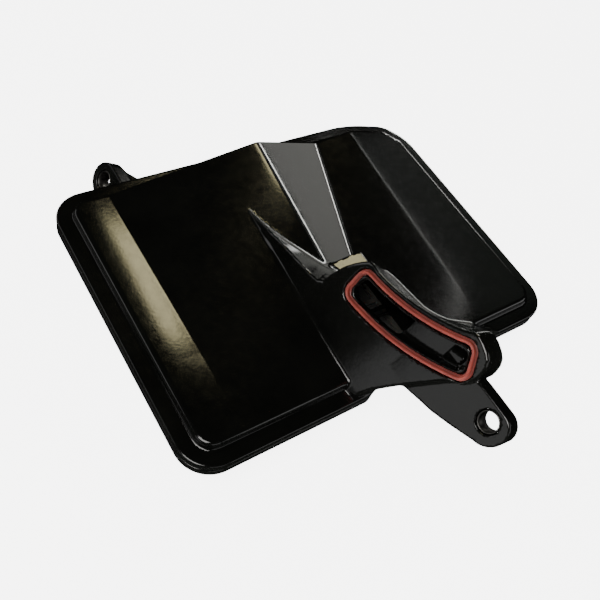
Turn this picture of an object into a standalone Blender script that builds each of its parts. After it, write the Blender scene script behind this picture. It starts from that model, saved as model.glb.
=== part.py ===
"""Flat two-shell oil strainer: a tray-shaped filter body with a kidney-shaped outlet port.

Units: lengths below are millimetres, and MM turns them into metres. The working frame has
+X along the long side of the tray, +Y to its rear, +Z up and square to the weld flange, with
z = 0 on the top of the flange. Every piece is moved at the end by SHIFT, so that the origin of
the finished part is the bottom centre of its box.
"""
import math

import bmesh
import bpy
from mathutils import Vector

MM = 0.001
GAP = 0.3                        # air between pieces that touch on the real part

# Tray and weld flange
HALF_X = 87.0
HALF_Y = 64.0
CORNER = 13.5
FLANGE_T = 3.4                   # one half of the welded flange
FLANGE_W = 6.5                   # flange width outside the raised panel
WALL = 2.4
DRAFT = 2.5                      # taper of the lower shell's sides, from flange to floor
CHAMFER = ((61.0, HALF_Y), (80.5, 57.0), (HALF_X, 45.5))   # cut rear right corner
NOTCH_X = (-12.0, 54.0)          # the flange steps back under the port block
NOTCH_Y = -59.6
FLOOR_Z = -17.0                  # underside of the lower shell
FEET = 2.0                       # stand-off ribs under the floor
FEET_X = (-60.0, 72.0)
FLOOR_RIBS_X = (-56.0, -34.0, 70.0)   # ribs that carry the filter pack

# Raised top of the upper shell
STEP = 3.0                       # height of the flat panels above the flange
CREASE_X = -64.0                 # where the left panel starts to rise
CREST_REAR = (4.0, 12.0)         # x and height of the crest at the rear edge
CREST_FRONT_X = -4.0
VALLEY_Z = 1.2                   # bottom of the shallow trough beside the crest
VALLEY_X = (38.5, -1.6)          # trough line, at the rear and at the front edge
RIDGE_X = (57.5, 49.0)           # where the right panel starts, rear and front
PANEL_REAR = HALF_Y - FLANGE_W
PANEL_FRONT = -(HALF_Y - FLANGE_W)

# Port face: a plane leaning 60 degrees, which holds the kidney port and the front ear
LEAN = math.radians(60.0)
PORT_N = Vector((-math.sin(LEAN), 0.0, math.cos(LEAN)))
PORT_W = Vector((math.cos(LEAN), 0.0, math.sin(LEAN)))
PORT_FOOT = -21.6                # x where the plane meets z = 0
PLATE_T = 3.2
BLOCK_DEPTH = 12.5               # of the block's front end wall, behind the port face
THROAT_BEND = -40.0              # in front of this y the room inside is drawn back, so that
THROAT_SQUEEZE = 0.24            # it stays behind the front wall of the raised panel
PORT_FLOOR_Z = 2.6               # floor inside the block, with two openings into the tray
PORT_OPENINGS = ((-4.0, 15.0, -34.8, -20.0), (-4.0, 15.0, -50.5, -37.0))

# Kidney port, in the port plane: centre of its arcs, and its radii and angles
ARC_Y, ARC_W = -24.9, 130.7
ARC_IN, ARC_OUT = 94.4, 109.2    # outer edge of the seal
ARC_FROM, ARC_TO = math.radians(2.1), math.radians(33.7)
SEAL_WIDTH = 2.1
SEAL_HEIGHT = 2.6                # cord height, of which SEAL_PROUD stands out
LAND = 0.8                       # plastic between the groove and the port opening
SEAL_PROUD = 0.8
SEAL_CORNER = 4.8
RIM = 2.2                        # plastic outside the seal on the curved side

# Ears, and the steel sleeves in them, which leave a 7 mm hole for an M6 bolt
BORE_R = 4.3
SLEEVE_R = BORE_R - GAP
SLEEVE_WALL = 0.5
SLEEVE_SUNK = 0.5                # below each face of the ear
EAR1_Y, EAR1_W = -98.2, 37.2
EAR1_T = 8.0
EAR1_DROP = 1.0                  # ear face behind the port face
EAR2 = Vector((-59.2, 73.3, -7.0))
EAR2_R = 7.7
EAR2_T = 6.4
GUSSET = ((-56.0, 63.0), (-44.0, 63.0), (-50.5, 74.0), (-56.0, 74.0))   # beside the rear ear
GUSSET_LOW = -12.0

# Filter pack
FRAME_INSET = FLANGE_W + WALL + DRAFT    # clears the tapered side wall
FRAME_W = 3.2
LIP_W = 3.0
LAYER_INSET = FRAME_INSET + FRAME_W + GAP
GRID_EDGE = 4.0                  # closed border of a grid
CUT_CORNER = (34.0, 20.0)        # windows past this corner would break into the cut corner
SCREEN_EDGE = 4.0
FRAME_Z = (-12.9, -3.9)
LAYERS = {"coarse_felt": (-11.4, -9.6), "spacer_grid": (-9.3, -7.9),
          "fine_felt": (-7.6, -5.6), "outlet_grid": (-5.3, -4.1)}
INLET = (78.0, 34.0)             # opening in the floor
INLET_AT = (22.0, 4.0)

FRONT_REACH = 106.4
REAR_REACH = 81.0
SHIFT = Vector((0.0, (FRONT_REACH - REAR_REACH) / 2, -(FLOOR_Z - FEET)))


def clear_scene():
    for obj in list(bpy.data.objects):
        bpy.data.objects.remove(obj)


def material(name, colour, roughness, metallic=0.0):
    mat = bpy.data.materials.new(name)
    mat.use_nodes = True
    shader = mat.node_tree.nodes["Principled BSDF"]
    shader.inputs["Base Color"].default_value = (*colour, 1.0)
    shader.inputs["Roughness"].default_value = roughness
    shader.inputs["Metallic"].default_value = metallic
    return mat


def port_point(y, w, depth=0.0):
    """A point of the leaning port plane, or depth millimetres behind it."""
    foot = Vector((PORT_FOOT, y, 0.0))
    return foot + PORT_W * w - PORT_N * depth


def add_mesh(name, verts, faces, mat=None, helper=False):
    """A new object from points in millimetres, with its faces turned outwards."""
    mesh = bpy.data.meshes.new(name)
    bm = bmesh.new()
    made = [bm.verts.new((Vector(v) + SHIFT) * MM) for v in verts]
    for face in faces:
        bm.faces.new([made[i] for i in face])
    bmesh.ops.recalc_face_normals(bm, faces=bm.faces)
    bm.to_mesh(mesh)
    bm.free()
    obj = bpy.data.objects.new(name, mesh)
    bpy.context.scene.collection.objects.link(obj)
    if mat:
        mesh.materials.append(mat)
    if helper:
        obj.hide_render = True
        obj.display_type = "WIRE"
    return obj


def loft(name, rings, mat=None, helper=False, twisted=False):
    """A closed solid through rings of equal length, with a flat face on each end.

    Where the strips between the rings are twisted, they are made of triangles."""
    count = len(rings[0])
    verts = [p for ring in rings for p in ring]
    faces = []
    for level in range(len(rings) - 1):
        low, high = level * count, (level + 1) * count
        for i in range(count):
            j = (i + 1) % count
            if twisted:
                faces.append((low + i, low + j, high + j))
                faces.append((low + i, high + j, high + i))
            else:
                faces.append((low + i, low + j, high + j, high + i))
    faces.append(tuple(range(count)))
    faces.append(tuple(range((len(rings) - 1) * count, len(rings) * count)))
    return add_mesh(name, verts, faces, mat, helper)


def prism(name, outline, low, high, mat=None, helper=False):
    """An outline in XY, extruded from low to high."""
    return loft(name, [[(x, y, z) for x, y in outline] for z in (low, high)], mat, helper)


def combine(obj, *helpers, how="DIFFERENCE"):
    for helper in helpers:
        mod = obj.modifiers.new(helper.name, "BOOLEAN")
        mod.operation = how
        mod.object = helper
        mod.solver = "EXACT"


def arc(cx, cy, radius, start, end, steps=6):
    """Points on an arc, angles in degrees."""
    out = []
    for k in range(steps + 1):
        a = math.radians(start + (end - start) * k / steps)
        out.append((cx + radius * math.cos(a), cy + radius * math.sin(a)))
    return out


def rounded_box(half_x, half_y, radius, centre=(0.0, 0.0), steps=6):
    cx, cy = centre
    out = []
    for sx, sy, start in ((1, 1, 0), (-1, 1, 90), (-1, -1, 180), (1, -1, 270)):
        out += arc(cx + sx * (half_x - radius), cy + sy * (half_y - radius), radius,
                   start, start + 90, steps)
    return out


def tray_outline(inset=0.0, notched=True):
    """The flange outline, counter-clockwise from the right: the rear right corner is cut."""
    hx, hy, r = HALF_X - inset, HALF_Y - inset, max(CORNER - inset, 2.5)
    slope = inset * 0.35
    (x1, _), (x2, y2), (_, y3) = CHAMFER
    out = [(hx, y3 - slope), (x2 - inset * 0.8, y2 - inset), (x1 - slope, hy)]
    out += arc(-hx + r, hy - r, r, 90, 180)
    out += arc(-hx + r, -hy + r, r, 180, 270)
    if notched and inset < HALF_Y + NOTCH_Y:
        left, right = NOTCH_X
        out += [(left, -hy), (left + 5.0, NOTCH_Y), (right - 3.0, NOTCH_Y), (right, -hy)]
    out += arc(hx - r, -hy + r, r, 270, 360)
    return out


def inset_ring(points, amount):
    """A closed 2-D outline moved inwards by amount, corners on their bisectors."""
    count = len(points)
    area = sum(points[i][0] * points[(i + 1) % count][1] - points[(i + 1) % count][0] * points[i][1]
               for i in range(count))
    side = 1.0 if area > 0 else -1.0
    out = []
    for i in range(count):
        here = Vector(points[i])
        back = (here - Vector(points[i - 1])).normalized()
        ahead = (Vector(points[(i + 1) % count]) - here).normalized()
        normal = Vector((-back.y, back.x)) + Vector((-ahead.y, ahead.x))
        reach = max(normal.length_squared / 2.0, 0.35)
        move = normal * side * amount / reach
        out.append(tuple(here + move))
    return out


def kidney(grow, radius, steps=5, along=14):
    """Kidney outline in the port plane: a rounded bar bent round the arcs' centre.

    grow is how far it reaches past the seal's outer edge."""
    middle = (ARC_IN + ARC_OUT) / 2
    centre = (ARC_FROM + ARC_TO) / 2
    half_long = (ARC_TO - ARC_FROM) / 2 * middle + grow
    half_wide = (ARC_OUT - ARC_IN) / 2 + grow
    bar = rounded_box(half_long, half_wide, radius, steps=steps)
    count = steps + 1
    points = []
    for k in range(4):
        points += bar[k * count:(k + 1) * count]
        if k % 2 == 0:           # the long sides follow the first and the third corner
            start, end = bar[(k + 1) * count - 1], bar[(k + 1) * count % len(bar)]
            for n in range(1, along):
                points.append((start[0] + (end[0] - start[0]) * n / along, start[1]))
    out = []
    for s, t in points:
        angle = centre + s / middle
        reach = middle + t
        out.append((ARC_Y - reach * math.sin(angle), ARC_W - reach * math.cos(angle)))
    return out


def plane_loft(name, outline, depths, mat=None, helper=False):
    """An outline of the port plane, extruded between two depths behind it."""
    rings = [[port_point(y, w, depth) for y, w in outline] for depth in depths]
    return loft(name, rings, mat, helper)


def top_surface(name, drop, helper=True):
    """The raised top as a solid from below the flange up to its facets, lowered by drop."""
    rows = []
    steps = 8
    for k in range(-1, steps + 2):
        t = k / steps
        y = PANEL_FRONT + (PANEL_REAR - PANEL_FRONT) * t
        hold = min(max(t, 0.0), 1.0)
        crest_x = CREST_FRONT_X + (CREST_REAR[0] - CREST_FRONT_X) * t
        crest_z = STEP + (CREST_REAR[1] - STEP) * hold
        valley_x = VALLEY_X[1] + (VALLEY_X[0] - VALLEY_X[1]) * t
        ridge_x = RIDGE_X[1] + (RIDGE_X[0] - RIDGE_X[1]) * t
        valley_z = VALLEY_Z + (STEP - VALLEY_Z) * max(0.0, 0.25 - hold) * 4 * 0.9
        top = [(-HALF_X, STEP), (CREASE_X, STEP)]
        for j in range(1, 4):
            u = j / 4
            top.append((CREASE_X + (crest_x - CREASE_X) * u, STEP + (crest_z - STEP) * u))
        top += [(crest_x, crest_z), (max(valley_x, crest_x + 1.5), valley_z),
                (ridge_x, STEP), (HALF_X, STEP)]
        rows.append([(x, y, z - drop) for x, z in top] + [(HALF_X, y, -8.0), (-HALF_X, y, -8.0)])
    return loft(name, rows, helper=helper, twisted=True)


def block_rings(inset=0.0, depth=0.0):
    """Three rings of the port block: its leaning face, the back of the port, and its base."""
    face = [(25.5, 9.8), (10.6, 12.2), (-4.2, 14.5), (-18.9, 16.9), (-21.0, 22.5), (-23.2, 30.0)]
    base = [(-14.0, 27.0), (-3.0, 17.0), (8.0, 8.0), (16.0, -2.5), (14.5, -17.5), (23.5, -17.0)]
    mid = [0.35] * 6
    reach = [0.0] * 6
    steps = 9
    sweep = [(28.5, -18.0), (30.2, -21.0), (31.2, -25.0), (32.1, -31.0), (33.6, -39.8),
             (36.2, -45.0), (39.8, -49.4), (44.5, -52.2), (49.1, -55.0), (54.0, -61.8)]
    for k in range(steps + 1):
        a = ARC_FROM + math.radians(0.4) + (ARC_TO - ARC_FROM - math.radians(0.9)) * k / steps
        r = ARC_IN - RIM
        face.append((ARC_Y - r * math.sin(a), ARC_W - r * math.cos(a)))
        base.append(sweep[k])
        mid.append(0.35)
        reach.append(max(0.0, (k - 5) / 4))
    face += [(-83.6, 50.6), (-85.6, 44.0), (-83.8, 39.4), (-80.6, 36.2), (-75.0, 27.0),
             (-69.9, 18.4), (-64.9, 9.2), (-60.0, 0.4)]
    base += [(46.5, -61.8), (38.0, -61.8), (28.0, -61.8), (18.0, -61.8), (8.0, -61.8),
             (-2.0, -61.8), (-11.0, -61.8), (-19.0, -60.6)]
    mid += [0.35] * 8
    reach += [1.0, 1.0, 0.9, 0.75, 0.55, 0.35, 0.2, 0.1]
    face += [(-45.0, 1.4), (-20.0, 4.0), (5.0, 7.0)]
    base += [(-19.0, -45.0), (-18.0, -20.0), (-16.5, 5.0)]
    mid += [0.35] * 3
    reach += [0.0] * 3
    if inset:                    # the room inside leaves out the narrow tip
        face, base, mid, reach = face[3:-1], base[3:-1], mid[3:-1], reach[3:-1]
        face = inset_ring(face, inset)
        base = [(x, y + max(0.0, THROAT_BEND - y) * THROAT_SQUEEZE)
                for x, y in inset_ring(base, inset)]
    low = PORT_FLOOR_Z if inset else -FLANGE_T + 0.2
    ring_face = [port_point(y, w, depth) for y, w in face]
    ring_base = [Vector((x, y, low)) for x, y in base]
    ring_mid = []
    for top, bottom, share, out in zip(ring_face, ring_base, mid, reach):
        straight = top.lerp(bottom, share)
        behind = top - PORT_N * (BLOCK_DEPTH - 2 * inset)
        ring_mid.append(straight.lerp(behind, out))
    return [ring_face, ring_mid, ring_base]


def ear_outline():
    """Front ear in the port plane: one straight edge, a round end, and a slanted edge."""
    out = [(-66.0, 41.0), (-88.0, 43.4)]
    out += [(EAR1_Y + 6.4 * math.cos(a) - 1.8, EAR1_W + 6.2 * math.sin(a))
            for a in (math.radians(d) for d in range(90, 181, 15))]
    out += [(EAR1_Y + 8.2 * math.cos(a), EAR1_W + 8.6 * math.sin(a))
            for a in (math.radians(d) for d in range(200, 261, 12))]
    out += [(-92.0, 25.6), (-84.3, 22.8), (-71.0, 19.6), (-66.0, 20.5)]
    return out


def upper_shell(mat):
    shell = prism("upper_shell", tray_outline(), -FLANGE_T, 0.0, mat)
    crown = top_surface("crown", 0.0)
    crown_edge = prism("crown_edge", tray_outline(FLANGE_W, False), -FLANGE_T + 0.1, 20.0,
                       helper=True)
    combine(crown, crown_edge, how="INTERSECT")
    block = loft("block", block_rings(), helper=True, twisted=True)
    ear = plane_loft("ear_plate", ear_outline(), (EAR1_DROP, EAR1_DROP + EAR1_T), helper=True)
    combine(shell, crown, block, ear, how="UNION")

    room = top_surface("room", WALL)
    room_edge = prism("room_edge", tray_outline(FLANGE_W + WALL, False), -8.0, 20.0, helper=True)
    combine(room, room_edge, how="INTERSECT")
    throat = loft("throat", block_rings(WALL + 0.2, PLATE_T), helper=True, twisted=True)
    opening = kidney(-SEAL_WIDTH - GAP - LAND, 3.0)
    port_cut = plane_loft("port_cut", opening, (-5.0, PLATE_T + 3.0), helper=True)
    groove = groove_ring("groove", GAP)
    bore = round_cut("ear1_bore", port_point(EAR1_Y, EAR1_W), BORE_R)
    windows = window_boxes("port_openings", PORT_OPENINGS, -3.0, 5.0)
    combine(shell, room, throat, port_cut, groove, bore, windows)
    return shell


def groove_ring(name, spare):
    """The seal groove as a solid band with a kidney hole."""
    outer = kidney(spare, SEAL_CORNER + spare)
    inner = kidney(-SEAL_WIDTH - spare, SEAL_CORNER - SEAL_WIDTH - spare)
    return band(name, outer, inner, -4.0, SEAL_HEIGHT - SEAL_PROUD, helper=True)


def band(name, outer, inner, front, back, mat=None, helper=False):
    """A closed band between two outlines of the port plane."""
    count = len(outer)
    verts = [port_point(y, w, depth) for depth in (front, back) for ring in (outer, inner)
             for y, w in ring]
    faces = []
    for i in range(count):
        j = (i + 1) % count
        a, b, c, d = i, count + i, 2 * count + i, 3 * count + i
        e, f, g, h = j, count + j, 2 * count + j, 3 * count + j
        faces += [(a, e, f, b), (c, d, h, g), (a, c, g, e), (b, f, h, d)]
    return add_mesh(name, verts, faces, mat, helper)


def round_ring(centre, radius, depth, steps=40):
    """A circle in a plane parallel to the port plane."""
    ring = []
    for k in range(steps):
        a = 2 * math.pi * k / steps
        ring.append(centre + Vector((0, 1, 0)) * radius * math.cos(a)
                    + PORT_W * radius * math.sin(a) - PORT_N * depth)
    return ring


def round_cut(name, centre, radius, length=60.0):
    """A round cutter square to the port plane."""
    rings = [round_ring(centre, radius, depth) for depth in (-length / 2, length / 2)]
    return loft(name, rings, helper=True)


def sleeve(name, centre, ear_t, mat, steps=40):
    """Rolled steel sleeve, open at both ends, in an ear whose front face is at centre."""
    rings = []
    for depth in (SLEEVE_SUNK, ear_t - SLEEVE_SUNK):
        for radius in (SLEEVE_R, SLEEVE_R - SLEEVE_WALL):
            rings.append(round_ring(centre, radius, depth, steps))
    verts = [p for ring in rings for p in ring]
    faces = []
    for i in range(steps):
        j = (i + 1) % steps
        for low, high in ((0, 1), (1, 3), (3, 2), (2, 0)):
            faces.append((low * steps + i, low * steps + j, high * steps + j, high * steps + i))
    return add_mesh(name, verts, faces, mat)


def lower_shell(mat):
    shell = prism("lower_shell", tray_outline(), -2 * FLANGE_T - GAP, -FLANGE_T - GAP, mat)
    bowl = loft("bowl", [[(x, y, -2 * FLANGE_T) for x, y in tray_outline(FLANGE_W)],
                         [(x, y, FLOOR_Z) for x, y in tray_outline(FLANGE_W + DRAFT)]],
                helper=True)
    gusset = prism("gusset", GUSSET, GUSSET_LOW, -FLANGE_T - GAP, helper=True)
    combine(shell, bowl, rear_lug(), gusset, how="UNION")
    wall = FLANGE_W + WALL
    inside = loft("inside", [[(x, y, -1.0) for x, y in tray_outline(wall)],
                             [(x, y, -2 * FLANGE_T) for x, y in tray_outline(wall)],
                             [(x, y, FLOOR_Z + WALL) for x, y in tray_outline(wall + DRAFT)]],
                  helper=True)
    inlet = prism("inlet", rounded_box(INLET[0] / 2, INLET[1] / 2, 5.0, INLET_AT),
                  FLOOR_Z - 5.0, FLOOR_Z + 5.0, helper=True)
    bore = round_cut("ear2_bore", EAR2, BORE_R)
    clear = prism("flange_clear", tray_outline(-GAP), -FLANGE_T - GAP, 12.0, helper=True)
    combine(shell, inside, inlet, bore, clear)
    ribs = [prism("rib", rounded_box(0.9, 44.0, 0.8, (x, 0.0), 2), FLOOR_Z + WALL - 0.4,
                  FRAME_Z[0] - GAP, helper=True) for x in FLOOR_RIBS_X]
    ribs += [prism("foot", rounded_box(2.0, 40.0, 1.9, (x, 0.0), 3), FLOOR_Z - FEET,
                   FLOOR_Z + 0.5, helper=True) for x in FEET_X]
    combine(shell, *ribs, how="UNION")
    return shell


def rear_lug():
    """Rear ear: a round-ended lug, square to its bolt, running into the side of the bowl."""
    outline = []
    for k in range(-7, 8):
        a = math.radians(k * 15)
        outline.append((EAR2_R * math.cos(a), EAR2_R * math.sin(a)))
    outline += [(-19.0, EAR2_R), (-19.0, -EAR2_R)]
    rings = []
    for depth in (0.0, EAR2_T):
        rings.append([EAR2 + Vector((0, y, 0)) + PORT_W * w - PORT_N * depth
                      for y, w in outline])
    return loft("ear2_lug", rings, helper=True)


def window_boxes(name, windows, low, high):
    """One cutter of separate upright boxes, each given as (x low, x high, y low, y high)."""
    verts, faces = [], []
    for x0, x1, y0, y1 in windows:
        start = len(verts)
        for z in (low, high):
            verts += [(x0, y0, z), (x1, y0, z), (x1, y1, z), (x0, y1, z)]
        faces += [tuple(start + k for k in face) for face in
                  ((0, 3, 2, 1), (4, 5, 6, 7), (0, 1, 5, 4), (1, 2, 6, 5), (2, 3, 7, 6),
                   (3, 0, 4, 7))]
    return add_mesh(name, verts, faces, helper=True)


def mesh_windows(centre, half_x, half_y, columns, rows, bar):
    """The windows of a grid of columns by rows, with bars between them."""
    step_x, step_y = 2 * half_x / columns, 2 * half_y / rows
    out = []
    for i in range(columns):
        for j in range(rows):
            x = centre[0] - half_x + step_x * i + bar / 2
            y = centre[1] - half_y + step_y * j + bar / 2
            out.append((x, x + step_x - bar, y, y + step_y - bar))
    return out


def grid(name, pitch, bar, mat):
    """Moulded grid: an edge band and crossing bars, cut as windows from a sheet."""
    low, high = LAYERS[name]
    sheet = prism(name, tray_outline(LAYER_INSET, False), low, high, mat)
    half_x, half_y = HALF_X - LAYER_INSET - GRID_EDGE, HALF_Y - LAYER_INSET - GRID_EDGE
    windows = mesh_windows((0.0, 0.0), half_x, half_y, int(2 * half_x / pitch),
                           int(2 * half_y / pitch), bar)
    clear = [w for w in windows if w[0] < CUT_CORNER[0] or w[2] < CUT_CORNER[1]]
    combine(sheet, window_boxes(name + "_windows", clear, low - 1.0, high + 1.0))
    return sheet


def pack_frame(mat):
    """Moulded frame that clamps the edges of the filter layers."""
    frame = prism("media_frame", tray_outline(FRAME_INSET, False), *FRAME_Z, mat)
    bay = prism("bay", tray_outline(FRAME_INSET + FRAME_W, False), LAYERS["coarse_felt"][0] - GAP,
                2.0, helper=True)
    lip = prism("lip", tray_outline(FRAME_INSET + FRAME_W + LIP_W, False), -20.0, 2.0,
                helper=True)
    combine(frame, bay, lip)
    return frame


def felt(name, mat):
    return prism(name, tray_outline(LAYER_INSET, False), *LAYERS[name], mat)


def inlet_screen(mat):
    """Coarse strainer: a rimmed plate with rows of square meshes, set in the floor opening."""
    half_x, half_y = INLET[0] / 2 - GAP, INLET[1] / 2 - GAP
    low, high = FLOOR_Z + 0.2, FLOOR_Z + 1.4
    plate = prism("inlet_screen", rounded_box(half_x, half_y, 4.7, INLET_AT), low, high, mat)
    windows = mesh_windows(INLET_AT, half_x - SCREEN_EDGE, half_y - SCREEN_EDGE, 17, 7, 1.1)
    combine(plate, window_boxes("screen_meshes", windows, low - 1.0, high + 1.0))
    return plate


def port_seal(mat):
    outer = kidney(0.0, SEAL_CORNER)
    inner = kidney(-SEAL_WIDTH, SEAL_CORNER - SEAL_WIDTH)
    return band("port_seal", outer, inner, -SEAL_PROUD, SEAL_HEIGHT - SEAL_PROUD - GAP, mat)


def build():
    clear_scene()
    black = material("black_nylon", (0.012, 0.012, 0.012), 0.22)
    red = material("red_rubber", (0.42, 0.06, 0.035), 0.55)
    grey = material("natural_nylon", (0.55, 0.53, 0.48), 0.5)
    white_felt = material("fine_felt", (0.82, 0.80, 0.74), 0.95)
    brown_felt = material("coarse_felt", (0.62, 0.56, 0.45), 0.95)
    steel = material("plated_steel", (0.40, 0.40, 0.39), 0.4, 1.0)

    upper_shell(black)
    lower_shell(black)
    port_seal(red)
    pack_frame(grey)
    felt("fine_felt", white_felt)
    felt("coarse_felt", brown_felt)
    grid("spacer_grid", 12.0, 1.8, grey)
    grid("outlet_grid", 16.0, 2.0, grey)
    inlet_screen(steel)
    sleeve("front_bolt_sleeve", port_point(EAR1_Y, EAR1_W, EAR1_DROP), EAR1_T, steel)
    sleeve("rear_bolt_sleeve", EAR2, EAR2_T, steel)


build()
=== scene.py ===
"""Looks of the flat oil strainer: moulded shells, seal, sleeves and filter pack, in one frame.

The two moulded shells are written as signed fields, negative inside the plastic, in which every
edge and every inner corner has its own radius. A surface is then drawn round each field. Lengths
are millimetres in the tray's own frame: x along its long side, y to its rear, z up from the top
of the weld flange. The frame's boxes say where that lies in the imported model.
"""

import math

import bmesh
import bpy
import numpy as np
from mathutils import Matrix, Vector


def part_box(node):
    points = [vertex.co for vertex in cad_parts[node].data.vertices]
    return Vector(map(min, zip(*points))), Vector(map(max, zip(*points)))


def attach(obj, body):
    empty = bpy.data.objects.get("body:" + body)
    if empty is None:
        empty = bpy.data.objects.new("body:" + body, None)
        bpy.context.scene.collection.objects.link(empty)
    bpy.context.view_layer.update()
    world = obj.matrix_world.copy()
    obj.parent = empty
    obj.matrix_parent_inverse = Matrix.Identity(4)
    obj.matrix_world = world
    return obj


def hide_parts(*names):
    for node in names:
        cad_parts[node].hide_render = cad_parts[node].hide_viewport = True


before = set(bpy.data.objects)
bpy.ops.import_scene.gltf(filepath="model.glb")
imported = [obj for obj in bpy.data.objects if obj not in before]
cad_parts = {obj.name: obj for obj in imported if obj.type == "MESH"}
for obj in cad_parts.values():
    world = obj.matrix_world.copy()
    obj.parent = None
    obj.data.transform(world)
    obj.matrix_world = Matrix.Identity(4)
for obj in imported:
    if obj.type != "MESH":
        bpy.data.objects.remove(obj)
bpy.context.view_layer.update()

MM = 0.001
GAP = 0.3
FAR = 50.0                       # a distance that no field reaches
EDGE = 0.8                       # radius of the flange and ear edges
CUT_EDGE = 0.3                   # radius of the edges round holes and grooves

# ---------------------------------------------------------------- sizes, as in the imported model
HALF_X, HALF_Y, CORNER = 87.0, 64.0, 13.5
FLANGE_T, FLANGE_W, WALL = 3.4, 6.5, 2.4
CHAMFER = ((61.0, 64.0), (80.5, 57.0), (87.0, 45.5))
NOTCH = ((-12.0, -64.0), (-7.0, -59.6), (51.0, -59.6), (54.0, -64.0))
FLOOR_Z, FEET, DRAFT = -17.0, 2.0, 2.5
FEET_X = (-60.0, 72.0)
FLOOR_RIBS_X = (-56.0, -34.0, 70.0)      # ribs that carry the filter pack
FLOOR_RIBS_TOP = -13.2
INLET, INLET_AT = (78.0, 34.0), (22.0, 4.0)

STEP = 3.0
CREASE_X = -64.0
CREST_X, CREST_Z = (-4.0, 4.0), 12.0
VALLEY_X, VALLEY_Z = (-1.6, 38.5), 1.2
RIDGE_X = (49.0, 57.5)
PANEL_Y = HALF_Y - FLANGE_W
STRIP_X, STRIP_DROP = -80.5, 0.6        # the left strip falls away, ever more, to the crease

LEAN_SIN, LEAN_COS = math.sin(math.radians(60)), math.cos(math.radians(60))
PORT_FOOT = -21.6
PLATE_T = 3.2
BLOCK_DEPTH = 12.5
PORT_FLOOR_Z = 2.6
PORT_OPENINGS = ((-4.0, 15.0, -34.8, -20.0), (-4.0, 15.0, -50.5, -37.0))
ARC_Y, ARC_W = -24.9, 130.7
ARC_IN, ARC_OUT = 94.4, 109.2
ARC_FROM, ARC_TO = math.radians(2.1), math.radians(33.7)
SEAL_WIDTH, SEAL_HEIGHT, SEAL_PROUD, SEAL_CORNER = 2.1, 2.6, 0.8, 4.8
LAND = 0.8
RIM = 2.2

BORE_R, SLEEVE_R, SLEEVE_WALL, SLEEVE_SUNK = 4.3, 4.0, 0.5, 0.5
EAR1 = (-98.2, 37.2)             # y and w of the front hole, in the port plane
EAR1_DROP, EAR1_T = 1.0, 8.0
EAR2, EAR2_R, EAR2_T, EAR2_REACH = (-59.2, 73.3, -7.0), 7.7, 6.4, 18
GUSSET = ((-56.0, 63.0), (-44.0, 63.0), (-50.5, 74.0), (-56.0, 74.0))

upper_low, upper_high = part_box("upper_shell")
ORIGIN = Vector(((upper_low.x + upper_high.x) / 2 / MM, upper_high.y / MM - HALF_Y,
                 upper_low.z / MM + FLANGE_T))


# ---------------------------------------------------------------- fields
def round_max(a, b, r):
    """Intersection of two fields with a rounded edge."""
    u, v = np.maximum(a + r, 0), np.maximum(b + r, 0)
    return np.minimum(np.maximum(a, b), -r) + np.hypot(u, v)


def round_min(a, b, r):
    """Union of two fields with a filleted inner corner."""
    u, v = np.maximum(r - a, 0), np.maximum(r - b, 0)
    return np.maximum(np.minimum(a, b), r) - np.hypot(u, v)


def rounded_box(x, y, half_x, half_y, r):
    qx, qy = np.abs(x) - half_x + r, np.abs(y) - half_y + r
    return np.hypot(np.maximum(qx, 0), np.maximum(qy, 0)) + np.minimum(np.maximum(qx, qy), 0) - r


def edge_side(x, y, a, b):
    """Distance to the line from a to b, positive on its left."""
    dx, dy = b[0] - a[0], b[1] - a[1]
    return ((y - a[1]) * dx - (x - a[0]) * dy) / math.hypot(dx, dy)


def polygon(x, y, points):
    """Signed distance to a closed polygon, whose points may be numbers or arrays like x."""
    best = np.full(np.shape(x), 1e9, np.float32)
    inside = np.zeros(np.shape(x), bool)
    ax, ay = points[-1]
    for bx, by in points:
        ex, ey = bx - ax, by - ay
        px, py = x - ax, y - ay
        t = np.clip((px * ex + py * ey) / (ex * ex + ey * ey + 1e-9), 0, 1)
        best = np.minimum(best, (px - ex * t) ** 2 + (py - ey * t) ** 2)
        crossed = ((ay > y) != (by > y)) & (px * ey * np.sign(ey) < ex * py * np.sign(ey))
        inside ^= crossed
        ax, ay = bx, by
    return np.where(inside, -1, 1) * np.sqrt(best)


def tray_plan(x, y):
    """The tray's outline without its front notch."""
    d = rounded_box(x, y, HALF_X, HALF_Y, CORNER)
    d = round_max(d, edge_side(x, y, CHAMFER[0], CHAMFER[1]), 3.0)
    return round_max(d, edge_side(x, y, CHAMFER[1], CHAMFER[2]), 3.0)


def flange_plan(x, y):
    a, b, c, e = NOTCH
    notch = np.maximum(np.maximum(edge_side(x, y, a, b), edge_side(x, y, c, e)),
                       y - b[1])
    return round_max(tray_plan(x, y), -notch, 1.5)


def ramp(t, soft):
    """Zero, then rising at a slope of one, with a rounded bend."""
    return 0.5 * (t + np.sqrt(t * t + soft * soft))


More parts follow.
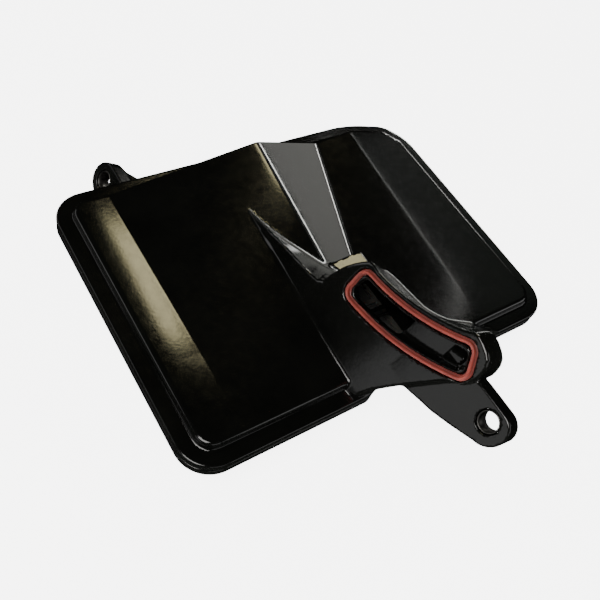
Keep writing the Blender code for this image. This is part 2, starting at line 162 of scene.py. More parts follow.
def crown_height(x, y, soft=0.95):
    """Facets of the raised top: strip, slope up to the crest, fall to the valley, and rise."""
    t = (y + PANEL_Y) / (2 * PANEL_Y)
    hold = np.clip(t, 0, 1)
    crest_x = CREST_X[0] + (CREST_X[1] - CREST_X[0]) * t
    crest_z = STEP + (CREST_Z - STEP) * hold
    valley_x = np.maximum(VALLEY_X[0] + (VALLEY_X[1] - VALLEY_X[0]) * t, crest_x + 1.5)
    valley_z = VALLEY_Z + (STEP - VALLEY_Z) * np.maximum(0, 0.25 - hold) * 3.6
    ridge_x = RIDGE_X[0] + (RIDGE_X[1] - RIDGE_X[0]) * t
    drop = STRIP_DROP * np.clip((y + PANEL_Y) / 34.0, 0, 1) ** 0.7
    strip = np.clip((x - STRIP_X) / (CREASE_X - STRIP_X), 0, 1)
    rise = (crest_z - STEP + drop) / (crest_x - CREASE_X)
    fall = (valley_z - crest_z) / (valley_x - crest_x)
    climb = (STEP - valley_z) / (ridge_x - valley_x)
    return (STEP - drop * strip * strip
            + rise * ramp(x - CREASE_X, soft) + (fall - rise) * ramp(x - crest_x, soft)
            + (climb - fall) * ramp(x - valley_x, soft) - climb * ramp(x - ridge_x, soft))


def crown(x, y, z, inset, r):
    top = (z - crown_height(x, y) + inset) * 0.98
    return round_max(top, tray_plan(x, y) + FLANGE_W + inset, r)


def port_coords(x, y, z):
    """In the port's frame: y, w up along its leaning plane, and depth behind the plane."""
    return y, LEAN_COS * (x - PORT_FOOT) + LEAN_SIN * z, LEAN_SIN * (x - PORT_FOOT) - LEAN_COS * z


def port_point(y, w, depth=0.0):
    return (PORT_FOOT + LEAN_COS * w + LEAN_SIN * depth, y, LEAN_SIN * w - LEAN_COS * depth)


def block_rulings():
    """Lines down the sides of the port block: start, middle and foot, as (y, w, depth)."""
    face = [(25.5, 9.8), (10.6, 12.2), (-4.2, 14.5), (-18.9, 16.9), (-21.0, 22.5), (-23.2, 30.0)]
    base = [(-14.0, 27.0), (-3.0, 17.0), (8.0, 8.0), (16.0, -2.5), (14.5, -17.5), (23.5, -17.0)]
    reach = [0.0] * 6
    sweep = [(28.5, -18.0), (30.2, -21.0), (31.2, -25.0), (32.1, -31.0), (33.6, -39.8),
             (36.2, -45.0), (39.8, -49.4), (44.5, -52.2), (49.1, -55.0), (54.0, -61.8)]
    for k, foot in enumerate(sweep):
        a = ARC_FROM + math.radians(0.4) + (ARC_TO - ARC_FROM - math.radians(0.9)) * k / 9
        r = ARC_IN - RIM
        face.append((ARC_Y - r * math.sin(a), ARC_W - r * math.cos(a)))
        base.append(foot)
        reach.append(max(0.0, (k - 5) / 4))
    face += [(-83.6, 50.6), (-85.6, 44.0), (-83.8, 39.4), (-80.6, 36.2), (-75.0, 27.0),
             (-69.9, 18.4), (-64.9, 9.2), (-60.0, 0.4)]
    base += [(46.5, -61.8), (38.0, -61.8), (28.0, -61.8), (18.0, -61.8), (8.0, -61.8),
             (-2.0, -61.8), (-11.0, -61.8), (-19.0, -60.6)]
    reach += [1.0, 1.0, 0.9, 0.75, 0.55, 0.35, 0.2, 0.1]
    face += [(-45.0, 1.4), (-20.0, 4.0), (5.0, 7.0)]
    base += [(-19.0, -45.0), (-18.0, -20.0), (-16.5, 5.0)]
    reach += [0.0] * 3
    rows = []
    for (fy, fw), (bx, by), share in zip(face, base, reach):
        start = np.array((fy, fw, 0.0))
        foot = np.array(port_coords(bx, by, -FLANGE_T + 0.2))
        middle = start + (foot - start) * 0.35
        behind = start + np.array((0.0, 0.0, BLOCK_DEPTH))
        rows.append((start, middle + (behind - middle) * share, foot))
    return smooth_rows(np.array(rows), 3)


def smooth_rows(rows, parts):
    """Catmull-Rom curves through the rows, with parts steps between two of them."""
    out = []
    last = len(rows) - 1
    for i in range(last):
        p0, p1, p2, p3 = rows[max(i - 1, 0)], rows[i], rows[i + 1], rows[min(i + 2, last)]
        for k in range(parts):
            t = k / parts
            out.append(0.5 * (2 * p1 + (p2 - p0) * t + (2 * p0 - 5 * p1 + 4 * p2 - p3) * t * t
                              + (3 * p1 - p0 - 3 * p2 + p3) * t ** 3))
    out.append(rows[last])
    return np.array(out)


RULINGS = block_rulings()


def block_side(y, w, depth):
    """Signed distance, within the plane at this depth, to the sides of the port block."""
    points = []
    for start, middle, foot in RULINGS:
        upper = depth / middle[2]
        lower = (depth - middle[2]) / (foot[2] - middle[2])
        above = depth < middle[2]
        points.append(tuple(
            np.where(above, start[i] + (middle[i] - start[i]) * upper,
                     middle[i] + (foot[i] - middle[i]) * lower).astype(np.float32)
            for i in (0, 1)))
    return polygon(y, w, points)


def kidney(y, w, grow, corner):
    """Distance to the kidney outline, grown by grow from the seal's outer edge."""
    middle = (ARC_IN + ARC_OUT) / 2
    centre = (ARC_FROM + ARC_TO) / 2
    along = (np.arctan2(ARC_Y - y, ARC_W - w) - centre) * middle
    across = np.hypot(y - ARC_Y, w - ARC_W) - middle
    return rounded_box(along, across, (ARC_TO - ARC_FROM) / 2 * middle + grow,
                       (ARC_OUT - ARC_IN) / 2 + grow, corner)


def ear_points():
    """Outline of the front ear in the port plane."""
    hole_y, hole_w = EAR1
    out = [(-62.0, 40.6), (-88.0, 43.4)]
    out += [(hole_y - 1.8 + 6.4 * math.cos(a), hole_w + 6.2 * math.sin(a))
            for a in np.radians(np.arange(90, 181, 10))]
    out += [(hole_y + 8.2 * math.cos(a), hole_w + 8.6 * math.sin(a))
            for a in np.radians(np.arange(200, 261, 10))]
    return out + [(-92.0, 25.6), (-84.3, 22.8), (-71.0, 19.6), (-62.0, 20.5)]


EAR_POINTS = ear_points()


def upper_field(x, y, z):
    y, w, depth = port_coords(x, y, z)
    body = np.maximum(crown(x, y, z, 0.0, 1.6), -FLANGE_T + 0.1 - z)
    plate = round_max(np.abs(z + FLANGE_T / 2) - FLANGE_T / 2, flange_plan(x, y), EDGE)
    body = round_min(body, plate, EDGE)

    near = (x > -32) & (x < 62) & (y > -96) & (y < 34)
    side = np.full(x.shape, 20.0, np.float32)
    side[near] = block_side(y[near], w[near], depth[near])
    rim = np.clip((-y - 14) / 12, 0, 1) * 0.5 + 0.6
    block = np.maximum(round_max(-depth, side, rim), -FLANGE_T + 0.2 - z)
    shelf = round_max(z - 6.6 - 0.12 * x + 0.06 * (y + 14),
                      rounded_box(x - 8.0, y + 16.0, 8.2, 6.6, 2.0), 0.8)
    block = round_min(block, np.maximum(shelf, -1.0 - z), 1.4)
    body = round_min(body, block, 1.0)

    ear_depth = np.abs(depth - EAR1_DROP - EAR1_T / 2) - EAR1_T / 2
    near = (y < -52) & (depth > -12) & (depth < 22)
    ear = np.full(x.shape, 20.0, np.float32)
    ear[near] = round_max(ear_depth[near], polygon(y[near], w[near], EAR_POINTS), EDGE)
    body = round_min(body, ear, 1.0)

    room = crown(x, y, z, WALL, 1.0)
    throat = round_max(side + WALL + 0.2, np.maximum(
        np.maximum(PLATE_T - depth, PORT_FLOOR_Z - z), -PANEL_Y + WALL + 0.5 - y), 1.2)
    body = np.maximum(body, -room)
    body = np.maximum(body, -throat)
    for x0, x1, y0, y1 in PORT_OPENINGS:
        window = rounded_box(x - (x0 + x1) / 2, y - (y0 + y1) / 2,
                             (x1 - x0) / 2, (y1 - y0) / 2, 1.2)
        body = round_max(body, -np.maximum(window, np.abs(z - 1.0) - 4.0), 0.5)
    opening = np.maximum(kidney(y, w, -SEAL_WIDTH - GAP - LAND, 3.0), depth - PLATE_T - 3.0)
    body = round_max(body, -opening, CUT_EDGE)
    web = np.maximum(rounded_box(x - 15.8, y + 37.5, 0.9, 20.0, 0.3), np.abs(z - 4.5) - 3.5)
    cross = np.maximum(rounded_box(x - 5.5, y + 35.9, 10.0, 0.9, 0.3), np.abs(z - 4.0) - 3.0)
    body = round_min(body, round_max(np.minimum(web, cross), side + 1.0, 0.3), 0.5)
    step = np.maximum(rounded_box(x - 5.0, y + 74.2, 3.2, 2.9, 0.5),
                      np.maximum(4.0 - depth, depth - 7.5))
    slant = -0.167 * (x - 5.0) + 0.212 * (y + 74.2) + 0.963 * (z - 34.8)
    body = np.minimum(body, round_max(step, slant, 0.3))
    groove = np.maximum(kidney(y, w, GAP, SEAL_CORNER + GAP),
                        -kidney(y, w, -SEAL_WIDTH - GAP, SEAL_CORNER - SEAL_WIDTH))
    body = round_max(body, -np.maximum(groove, depth - SEAL_HEIGHT + SEAL_PROUD), CUT_EDGE)
    bore = np.hypot(y - EAR1[0], w - EAR1[1]) - BORE_R
    return round_max(body, -np.maximum(bore, np.abs(depth) - 30), 0.4)


def lower_field(x, y, z):
    plan = flange_plan(x, y)
    top, flange_low = -FLANGE_T - GAP, -2 * FLANGE_T - GAP
    plate = round_max(np.abs(z - (top + flange_low) / 2) - FLANGE_T / 2, plan, EDGE)
    taper = DRAFT * np.clip((flange_low - z) / (flange_low - FLOOR_Z), 0, 1)
    bowl = np.maximum(round_max(plan + FLANGE_W + taper, FLOOR_Z - z, 2.0), z - top)
    body = round_min(plate, bowl, 1.0)

    _, w, depth = port_coords(x - EAR2[0] + PORT_FOOT, y, z - EAR2[2])
    reach = y - EAR2[1]
    neck = np.maximum(np.maximum(np.abs(w) - EAR2_R, reach), -EAR2_REACH - reach)
    lug = np.minimum(np.hypot(reach, w) - EAR2_R, neck)
    lug = round_max(lug, np.abs(depth - EAR2_T / 2) - EAR2_T / 2, 0.7)
    wedge = round_max(polygon(x, y, GUSSET), np.abs(z + 7.9) - 4.1, 0.6)
    lug = round_min(lug, wedge, 1.0)
    lug = np.maximum(lug, z - top - FAR * (plan > GAP))      # no lug above the upper flange
    body = round_min(body, lug, 0.8)
    for foot_x in FEET_X:
        foot = round_max(rounded_box(x - foot_x, y, 2.0, 40.0, 1.9),
                         np.abs(z - FLOOR_Z + FEET / 2 - 0.5) - FEET / 2 - 0.5, 0.5)
        body = round_min(body, foot, 0.6)
    inside = round_max(plan + FLANGE_W + WALL + taper, FLOOR_Z + WALL - z, 1.2)
    body = np.maximum(body, -inside)
    for rib_x in FLOOR_RIBS_X:
        rib = round_max(rounded_box(x - rib_x, y, 0.9, 44.0, 0.8),
                        np.maximum(z - FLOOR_RIBS_TOP, FLOOR_Z + 1.0 - z), 0.3)
        body = round_min(body, rib, 0.4)
    inlet = rounded_box(x - INLET_AT[0], y - INLET_AT[1], INLET[0] / 2, INLET[1] / 2, 5.0)
    body = round_max(body, -inlet, 0.4)
    bore = np.hypot(reach, w) - BORE_R
    return round_max(body, -np.maximum(bore, np.abs(depth) - 30), 0.4)


# ---------------------------------------------------------------- surface round a field
def axis(*stretches):
    """Grid planes: each stretch is (end, step), from the end of the one before."""
    out = [stretches[0]]
    for end, step in stretches[1:]:
        count = max(1, round((end - out[-1]) / step))
        out += list(np.linspace(out[-1], end, count + 1)[1:])
    return np.array(out)


def surface(name, field, xs, ys, zs):
    """A closed mesh round the field's zero, its points drawn onto it and its normals exact."""
    grid = np.meshgrid(xs, ys, zs, indexing="ij")
    values = field(*(g.astype(np.float32) for g in grid))
    inside = values < 0
    shape = tuple(n - 1 for n in inside.shape)
    corners = [(i, j, k) for i in (0, 1) for j in (0, 1) for k in (0, 1)]
    total = np.zeros(shape, np.int8)
    for i, j, k in corners:
        total += inside[i:shape[0] + i, j:shape[1] + j, k:shape[2] + k]
    cells = np.argwhere((total > 0) & (total < 8))
    index = np.full(shape, -1, np.int64)
    index[tuple(cells.T)] = np.arange(len(cells))
    at = {c: values[tuple((cells + c).T)] for c in corners}
    place, hits = np.zeros((len(cells), 3)), np.zeros(len(cells))
    for c in corners:
        for ax in range(3):
            if c[ax]:
                continue
            d = tuple(1 if a == ax else v for a, v in enumerate(c))
            cut = (at[c] < 0) != (at[d] < 0)
            t = np.where(cut, at[c] / np.where(cut, at[c] - at[d], 1), 0)
            point = np.repeat(np.array([c], float), len(cells), 0)
            point[:, ax] = t
            place += point * cut[:, None]
            hits += cut
    place = cells + place / hits[:, None]
    points = np.stack([np.interp(place[:, a], np.arange(len(line)), line)
                       for a, line in enumerate((xs, ys, zs))], 1)
    cell_low = np.stack([line[cells[:, a]] for a, line in enumerate((xs, ys, zs))], 1)
    cell_high = np.stack([line[cells[:, a] + 1] for a, line in enumerate((xs, ys, zs))], 1)
    margin = (cell_high - cell_low) * 0.15
    for _ in range(4):
        value, slope = field_slope(field, points)
        step = value[:, None] * slope / np.maximum((slope ** 2).sum(1), 0.2)[:, None]
        points = np.clip(points - step, cell_low - margin, cell_high + margin)
    faces = []
    for ax in range(3):
        a, b = (ax + 1) % 3, (ax + 2) % 3
        here = inside
        there = np.roll(inside, -1, ax)
        change = here != there
        change = np.delete(change, -1, ax)
        spots = np.argwhere(change)
        spots = spots[(spots[:, a] > 0) & (spots[:, b] > 0)
                      & (spots[:, a] < shape[a]) & (spots[:, b] < shape[b])]
        ring = []
        for da, db in ((1, 1), (0, 1), (0, 0), (1, 0)):
            cell = spots.copy()
            cell[:, a] -= da
            cell[:, b] -= db
            ring.append(index[tuple(cell.T)])
        quad = np.stack(ring, 1)
        flip = ~inside[tuple(spots.T)]
        quad[flip] = quad[flip][:, ::-1]
        faces.append(quad)
    faces = np.concatenate(faces)
    _, normals = field_slope(field, points)
    normals /= np.maximum(np.linalg.norm(normals, axis=1), 1e-6)[:, None]
    return mesh_object(name, points, faces.tolist(), normals)


def field_slope(field, points, h=0.12):
    """The field and its gradient at some points, from four samples round each."""
    p = points.astype(np.float64)
    value, slope = np.zeros(len(p)), np.zeros((len(p), 3))
    for signs in ((1, -1, -1), (-1, -1, 1), (-1, 1, -1), (1, 1, 1)):
        moved = p + np.array(signs) * h
        sample = field(moved[:, 0], moved[:, 1], moved[:, 2])
        value += sample / 4
        slope += sample[:, None] * np.array(signs) / (4 * h)
    return value, slope


def mesh_object(name, points, faces, normals=None):
    """A smooth-shaded object from points in millimetres."""
    mesh = bpy.data.meshes.new(name)
    mesh.from_pydata(((np.asarray(points) + np.array(ORIGIN)) * MM).tolist(), [], faces)
    mesh.update()
    mesh.shade_smooth()
    if normals is not None:
        mesh.normals_split_custom_set_from_vertices(normals.tolist())
    obj = bpy.data.objects.new(name, mesh)
    bpy.context.scene.collection.objects.link(obj)
    return obj


def ruled(name, rings, closed_ends=False):
    """Quads between rings of as many points each; the rings close on themselves, or are capped."""
    count = len(rings[0])
    points = [p for ring in rings for p in ring]
    faces = []
    for i in range(len(rings) - (1 if closed_ends else 0)):
        j = (i + 1) % len(rings)
        for k in range(count):
            m = (k + 1) % count
            faces.append((i * count + k, i * count + m, j * count + m, j * count + k))
    if closed_ends:
        faces += [tuple(range(count))[::-1],
                  tuple(range((len(rings) - 1) * count, len(rings) * count))]
    obj = mesh_object(name, points, faces)
    bm = bmesh.new()
    bm.from_mesh(obj.data)
    bmesh.ops.recalc_face_normals(bm, faces=bm.faces)
    bm.to_mesh(obj.data)
    bm.free()
    obj.data.set_sharp_from_angle(angle=math.radians(50))
    return obj


# ---------------------------------------------------------------- materials
class Finish:
    """A Principled material that is built up node by node."""

    def __init__(self, name, colour, roughness, metallic=0.0):
        self.material = bpy.data.materials.new(name)
        self.material.use_nodes = True
        self.tree = self.material.node_tree
        self.surface = self.tree.nodes["Principled BSDF"]
        self.surface.inputs["Base Color"].default_value = (*colour, 1)
        self.surface.inputs["Roughness"].default_value = roughness
        self.surface.inputs["Metallic"].default_value = metallic
        self.place = self.tree.nodes.new("ShaderNodeTexCoord").outputs["Object"]
        self.normal = None

    def node(self, kind, **values):
        node = self.tree.nodes.new(kind)
        for key, value in values.items():
            node.inputs[key].default_value = value
        return node

    def link(self, out, into):
        self.tree.links.new(out, into)

    def noise(self, size_mm, detail=4.0, rough=0.55, stretch=(1, 1, 1)):
        mapping = self.node("ShaderNodeMapping")
        mapping.inputs["Scale"].default_value = tuple(s / (size_mm * MM) for s in stretch)
        self.link(self.place, mapping.inputs["Vector"])
        node = self.node("ShaderNodeTexNoise", Scale=1.0, Detail=detail, Roughness=rough)
        self.link(mapping.outputs["Vector"], node.inputs["Vector"])
        return node.outputs["Fac"]

    def spread(self, fac, low, high, start=0.3, end=0.7):
        node = self.node("ShaderNodeMapRange")
        for key, value in (("From Min", start), ("From Max", end),
                           ("To Min", low), ("To Max", high)):
            node.inputs[key].default_value = value
        self.link(fac, node.inputs["Value"])
        return node.outputs["Result"]

    def roughness(self, fac, low, high, start=0.3, end=0.7):
        self.link(self.spread(fac, low, high, start, end), self.surface.inputs["Roughness"])

    def colours(self, fac, *stops):
        ramp_node = self.node("ShaderNodeValToRGB")
        ramp_node.color_ramp.elements[0].position = stops[0][0]
        ramp_node.color_ramp.elements[0].color = (*stops[0][1], 1)
        ramp_node.color_ramp.elements[1].position = stops[-1][0]
        ramp_node.color_ramp.elements[1].color = (*stops[-1][1], 1)
        for at, colour in stops[1:-1]:
            ramp_node.color_ramp.elements.new(at).color = (*colour, 1)
        self.link(fac, ramp_node.inputs["Fac"])
        self.link(ramp_node.outputs["Color"], self.surface.inputs["Base Color"])

    def bump(self, height, depth_mm, strength=1.0):
        node = self.node("ShaderNodeBump", Strength=strength, Distance=depth_mm * MM)
        self.link(height, node.inputs["Height"])
        if self.normal:
            self.link(self.normal, node.inputs["Normal"])
        self.normal = node.outputs["Normal"]
        self.link(self.normal, self.surface.inputs["Normal"])


def black_nylon():
    """Injection-moulded nylon: glossy, with a fine grain, flow marks and dulling from handling."""
    f = Finish("black_nylon", (0.010, 0.010, 0.010), 0.2)
    cloud = f.noise(22.0, 3.0)
    f.colours(cloud, (0.3, (0.0022, 0.0024, 0.0022)), (0.7, (0.0042, 0.0044, 0.0038)))
    f.roughness(f.noise(3.2, 6.0, 0.62), 0.075, 0.125)
    f.bump(f.noise(26.0, 2.0, 0.4, (1.0, 0.55, 1.0)), 0.07)
    f.bump(f.noise(1.1, 3.0, 0.5), 0.012)
    f.bump(f.noise(0.28, 3.0, 0.6), 0.0045)
    return f.material


def red_rubber():
    f = Finish("red_rubber", (0.24, 0.03, 0.018), 0.5)
    f.colours(f.noise(5.0, 5.0), (0.3, (0.14, 0.014, 0.009)), (0.7, (0.23, 0.027, 0.015)))
    f.roughness(f.noise(1.4, 4.0), 0.42, 0.6)
    f.bump(f.noise(2.2, 2.0), 0.05)
    f.bump(f.noise(0.35, 4.0, 0.65), 0.02)
    f.surface.inputs["Sheen Weight"].default_value = 0.1
    return f.material


def natural_nylon():
    f = Finish("natural_nylon", (0.1, 0.095, 0.085), 0.42)
    f.colours(f.noise(9.0, 4.0), (0.3, (0.06, 0.058, 0.05)), (0.7, (0.13, 0.125, 0.11)))
    f.roughness(f.noise(1.6, 5.0), 0.34, 0.5)
    f.bump(f.noise(0.6, 4.0), 0.02)
    f.surface.inputs["Subsurface Weight"].default_value = 0.15
    f.surface.inputs["Subsurface Scale"].default_value = 0.001
    return f.material


def needled_felt(name, dark, light, fibre):
    """Needled fibres lying both ways, with small pits where the needles went in."""
    f = Finish(name, light, 0.95)
    f.colours(f.noise(3.5, 6.0, 0.7), (0.28, dark), (0.66, light))
    f.bump(f.noise(fibre, 5.0, 0.7, (0.25, 1.0, 1.0)), 0.12)
    f.bump(f.noise(fibre, 5.0, 0.7, (1.0, 0.25, 1.0)), 0.12)
    pits = f.node("ShaderNodeTexVoronoi", Scale=1 / (2.2 * MM))
    f.link(f.place, pits.inputs["Vector"])
    f.bump(f.spread(pits.outputs["Distance"], 0.0, 1.0, 0.0, 0.25), 0.15)
    f.surface.inputs["Sheen Weight"].default_value = 0.35
    f.surface.inputs["Sheen Roughness"].default_value = 0.6
    return f.material


def plated_steel():
    """Phosphated steel, dark grey, with brighter rubbed spots."""
    f = Finish("plated_steel", (0.16, 0.155, 0.15), 0.4, 1.0)
    f.colours(f.noise(1.8, 6.0, 0.7), (0.32, (0.07, 0.068, 0.064)), (0.6, (0.15, 0.146, 0.138)),
              (0.78, (0.3, 0.29, 0.27)))
    f.roughness(f.noise(0.7, 5.0), 0.3, 0.52)
    f.bump(f.noise(0.3, 4.0), 0.008)
    return f.material


def screen_steel():
    f = Finish("screen_steel", (0.45, 0.44, 0.42), 0.3, 1.0)
    f.colours(f.noise(6.0, 5.0), (0.3, (0.36, 0.35, 0.33)), (0.7, (0.52, 0.51, 0.49)))
    f.roughness(f.noise(0.9, 5.0, 0.6, (0.2, 1.0, 1.0)), 0.22, 0.42)
    f.bump(f.noise(0.4, 4.0, 0.6, (0.15, 1.0, 1.0)), 0.008)
    return f.material


BLACK, RED, NATURAL, STEEL = black_nylon(), red_rubber(), natural_nylon(), plated_steel()


def finished(obj, mat, slot, *nodes):
    obj.data.materials.append(mat)
    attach(obj, "root")
    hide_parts(*nodes)
    return obj


# ---------------------------------------------------------------- the two moulded shells
def make_shells():
    xs = axis(-88.0, (-79.0, 0.6), (-67.0, 2.4), (-61.0, 0.6), (-20.0, 2.4), (-8.0, 1.0), (34.0, 0.66),
              (60.0, 1.0), (78.0, 2.4), (88.2, 0.6))
    ys = axis(-108.0, (-57.0, 0.7), (-16.0, 0.72), (6.0, 0.9), (48.0, 1.7), (54.0, 1.2), (65.2, 0.56))
    zs = axis(-4.2, (4.4, 0.5), (14.0, 0.66), (47.6, 0.8))
    finished(surface("upper_moulding", upper_field, xs, ys, zs), BLACK, "black_nylon", "upper_shell")
    xs = axis(-88.2, (-76.0, 0.6), (-30.0, 0.8), (-16.0, 1.4), (66.0, 1.3), (76.0, 0.8), (88.2, 0.6))
    ys = axis(-65.2, (-54.0, 0.6), (-18.0, 1.6), (26.0, 1.2), (52.0, 1.4), (82.0, 0.6))
    zs = axis(-19.8, (-12.0, 0.5), (-3.2, 0.45), (3.0, 0.7))
    finished(surface("lower_moulding", lower_field, xs, ys, zs), BLACK, "black_nylon", "lower_shell")


# ---------------------------------------------------------------- the seal
def kidney_ring(inset, depth, corner_steps=9, along_steps=56):
    """Points of the kidney outline moved inwards by inset, at one depth behind the port plane."""
    middle = (ARC_IN + ARC_OUT) / 2
    half_x = (ARC_TO - ARC_FROM) / 2 * middle - SEAL_CORNER
    half_y = (ARC_OUT - ARC_IN) / 2 - SEAL_CORNER
    r = SEAL_CORNER - inset
    outline = []
    for turn, (cx, cy) in enumerate(((half_x, half_y), (-half_x, half_y), (-half_x, -half_y),
                                     (half_x, -half_y))):
        for k in range(corner_steps + 1):
            a = math.radians(90 * turn + 90 * k / corner_steps)
            outline.append((cx + r * math.cos(a), cy + r * math.sin(a)))
        nx, ny = ((-half_x, half_y), (-half_x, -half_y), (half_x, -half_y), (half_x, half_y))[turn]
        steps = along_steps if turn % 2 == 0 else 8
        a = math.radians(90 * turn + 90)
        for k in range(1, steps):
            t = k / steps
            outline.append((cx + (nx - cx) * t + r * math.cos(a), cy + (ny - cy) * t + r * math.sin(a)))
    ring = []
    for along, across in outline:
        a = (ARC_FROM + ARC_TO) / 2 + along / middle
        radius = middle + across
        ring.append(port_point(ARC_Y - radius * math.sin(a), ARC_W - radius * math.cos(a), depth))
    return ring


def make_seal():
    """A D-shaped bead: round crown, a small lip each side of its foot, and a flat foot."""
    half = SEAL_WIDTH / 2
    back = SEAL_HEIGHT - SEAL_PROUD - GAP
    profile = [(half - math.cos(a) * (half - 0.34), -SEAL_PROUD + half - math.sin(a) * half)
               for a in np.radians(np.linspace(0, 180, 13))]
    profile += [(SEAL_WIDTH - 0.34, back - 0.75), (SEAL_WIDTH, back - 0.55), (SEAL_WIDTH, back - 0.2),
                (SEAL_WIDTH - 0.2, back), (0.2, back), (0.0, back - 0.2), (0.0, back - 0.55),
                (0.34, back - 0.75)]
    rings = [kidney_ring(s, d) for s, d in profile]
    finished(ruled("seal_bead", rings), RED, "red_rubber", "port_seal")


# ---------------------------------------------------------------- bolt sleeves
def make_sleeve(name, centre, ear_t, node):
    """A tube rolled from strip: chamfered at both ends, with its split seam left open."""
    ax_u, ax_w, ax_d = (np.array(port_point(*v)) - np.array(port_point(0, 0, 0))
                        for v in ((1, 0, 0), (0, 1, 0), (0, 0, 1)))
    inner = SLEEVE_R - SLEEVE_WALL
    low, high = SLEEVE_SUNK, ear_t - SLEEVE_SUNK
    c, e = 0.14, 0.22
    profile = [(inner + c, low), (SLEEVE_R - e, low), (SLEEVE_R - e * 0.3, low + e * 0.3),
               (SLEEVE_R, low + e), (SLEEVE_R, (low + high) / 2), (SLEEVE_R, high - e),
               (SLEEVE_R - e * 0.3, high - e * 0.3), (SLEEVE_R - e, high), (inner + c, high),
               (inner, high - c), (inner, (low + high) / 2), (inner, low + c)]
    half_gap = 0.16 / SLEEVE_R
    turns = np.linspace(half_gap, 2 * math.pi - half_gap, 81) + math.radians(150)
    rings = []
    for k, a in enumerate(turns):
        soft = 0.0 if 0 < k < 80 else 0.06
        middle = (inner + SLEEVE_R) / 2
        rings.append([tuple(np.array(centre) + ax_u * math.cos(a) * (r + (middle - r) * soft * 3)
                            + ax_w * math.sin(a) * (r + (middle - r) * soft * 3) + ax_d * d)
                      for r, d in profile])
    finished(ruled(name, rings, closed_ends=True), STEEL, "plated_steel", node)


# ---------------------------------------------------------------- the filter layers
LAYER_INSET = 14.9
LAYERS = (("coarse_mat", "coarse_felt", (0.10, 0.085, 0.065), (0.22, 0.19, 0.15), 0.9),
          ("fine_mat", "fine_felt", (0.018, 0.018, 0.017), (0.05, 0.05, 0.047), 0.5))


def waves(x, y, seed):
    """A sum of low ripples, of about one unit, as needled felt has."""
    out = 0
    for k in range(7):
        a = seed * 1.7 + k * 2.399
        size = 3.4 + 2.3 * k
        out = out + np.sin((x * math.cos(a) + y * math.sin(a)) * 6.283 / size + k * seed)
    return out / 4


def make_layers():
    for seed, (name, node, dark, light, fibre) in enumerate(LAYERS, 3):
        low, high = (v.z / MM - ORIGIN.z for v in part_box(node))
        middle, half = (low + high) / 2, (high - low) / 2

        def field(x, y, z, middle=middle, half=half, seed=seed):
            lumps = 0.07 * (1 + waves(x, y, seed)) * np.where(z > middle, 1.0, 0.8)
            return round_max(np.abs(z - middle) - half + lumps, tray_plan(x, y) + LAYER_INSET + 0.05
                             * (1 + waves(z * 9 + y, x, seed + 2)), 0.5)

        xs = axis(-73.0, (73.0, 1.2))
        ys = axis(-50.0, (50.0, 1.2))
        zs = axis(low - 0.5, (high + 0.5, 0.35))
        mat = needled_felt(node, dark, light, fibre)
        sheet = finished(surface(name, field, xs, ys, zs), mat, node, node)


def dress_kept_nodes():
    """Procedural materials for the pieces whose CAD shape is kept."""
    screen = screen_steel()
    for node, mat in (("media_frame", NATURAL), ("spacer_grid", NATURAL), ("outlet_grid", NATURAL),
                      ("inlet_screen", screen)):
        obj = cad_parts[node]
        for material_slot in obj.material_slots:
            material_slot.material = mat


# ---------------------------------------------------------------- studio
CAMERA_AT = (-146.61, -127.04, 222.0)
CAMERA_AIM = (0.466, 0.3934, -0.7925)
CAMERA_UP = (0.3182, 0.7613, 0.565)
LENS_MM = 42.54


def make_camera():
    data = bpy.data.cameras.new("camera")
    data.lens, data.sensor_width, data.clip_start = LENS_MM, 36, 0.01
    data.dof.use_dof = False
    camera = bpy.data.objects.new("camera", data)
    bpy.context.scene.collection.objects.link(camera)
    aim = Vector(CAMERA_AIM).normalized()
    right = aim.cross(Vector(CAMERA_UP)).normalized()
    up = right.cross(aim)
    turn = Matrix((right, up, -aim)).transposed().to_4x4()
    camera.matrix_world = Matrix.Translation((Vector(CAMERA_AT) + ORIGIN) * MM) @ turn
    bpy.context.scene.camera = camera


def area_light(name, centre, aim, size, radiance, colour=(1, 1, 1), turn=0.0):
    """A rectangular panel; centre and aim in the tray's millimetres, radiance as seen in a mirror."""
    data = bpy.data.lights.new(name, "AREA")
    data.shape, data.size, data.size_y = "RECTANGLE", size[0] * MM, size[1] * MM
    data.energy = radiance * math.pi * size[0] * size[1] * MM * MM
    data.color = colour
    obj = bpy.data.objects.new(name, data)
    bpy.context.scene.collection.objects.link(obj)
    obj.location = (Vector(centre) + ORIGIN) * MM
    aimed = (Vector(aim) - Vector(centre)).to_track_quat("-Z", "Y").to_matrix()
    obj.rotation_euler = (aimed @ Matrix.Rotation(math.radians(turn), 3, "Z")).to_euler()
    return obj


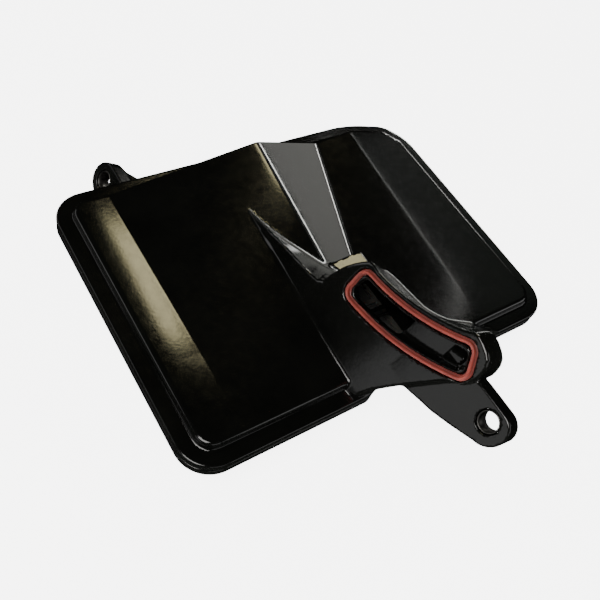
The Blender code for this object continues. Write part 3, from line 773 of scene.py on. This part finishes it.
def make_studio():
    world = bpy.data.worlds.new("studio")
    bpy.context.scene.world = world
    world.use_nodes = True
    background = world.node_tree.nodes["Background"]
    background.inputs["Color"].default_value = (1.0, 1.0, 1.0, 1)
    background.inputs["Strength"].default_value = 5.0
    world.cycles_visibility.glossy = False
    world.cycles_visibility.diffuse = False
    area_light("key", (-520, -150, 900), (0, 0, 0), (620, 620), 9.0, (1.0, 0.98, 0.95))
    area_light("warm_top", (1000, 1480, 2200), (1000, 1480, 0), (255, 680), 11.0, (1.0, 0.9, 0.52),
               turn=-6)
    area_light("side", (1250, 660, 370), (0, 0, 0), (760, 430), 1.35, (1.0, 1.0, 0.93))
    area_light("crest_line", (1130, 620, 700), (0, 0, 0), (460, 110), 26.0, (1.0, 1.0, 0.96))
    area_light("ridge_line", (1890, 1300, 2200), (1890, 1300, 0), (45, 1100), 8.0, (1.0, 1.0, 0.96))
    area_light("right_top", (1050, 560, 1000), (1050, 560, 0), (260, 620), 0.12, (0.86, 1.0, 0.9))
    area_light("port_fill", (-900, -70, 150), (0, -60, 30), (560, 320), 0.85)
    area_light("front_right_fill", (1000, -1000, 420), (0, 0, 0), (1300, 560), 1.6)
    area_light("rear_left_fill", (-900, 1000, 520), (0, 0, 0), (1200, 420), 1.3)
    area_light("front_fill", (-80, -1400, 520), (0, 0, 0), (900, 420), 1.2)

    floor = bpy.data.meshes.new("floor")
    reach = 3.0
    low = -0.0004
    floor.from_pydata([(-reach, -reach, low), (reach, -reach, low), (reach, reach, low),
                       (-reach, reach, low)], [], [(0, 1, 2, 3)])
    obj = bpy.data.objects.new("floor", floor)
    bpy.context.scene.collection.objects.link(obj)
    paper = Finish("paper", (0.9, 0.9, 0.9), 0.85)
    paper.surface.inputs["Specular IOR Level"].default_value = 0.1
    paper.surface.inputs["Emission Color"].default_value = (1, 1, 1, 1)
    paper.surface.inputs["Emission Strength"].default_value = 5.5
    floor.materials.append(paper.material)
    obj.visible_glossy = False


make_camera()
make_shells()
make_seal()
make_sleeve("front_sleeve", port_point(*EAR1, EAR1_DROP), EAR1_T, "front_bolt_sleeve")
make_sleeve("rear_sleeve", EAR2, EAR2_T, "rear_bolt_sleeve")
make_layers()
dress_kept_nodes()
make_studio()
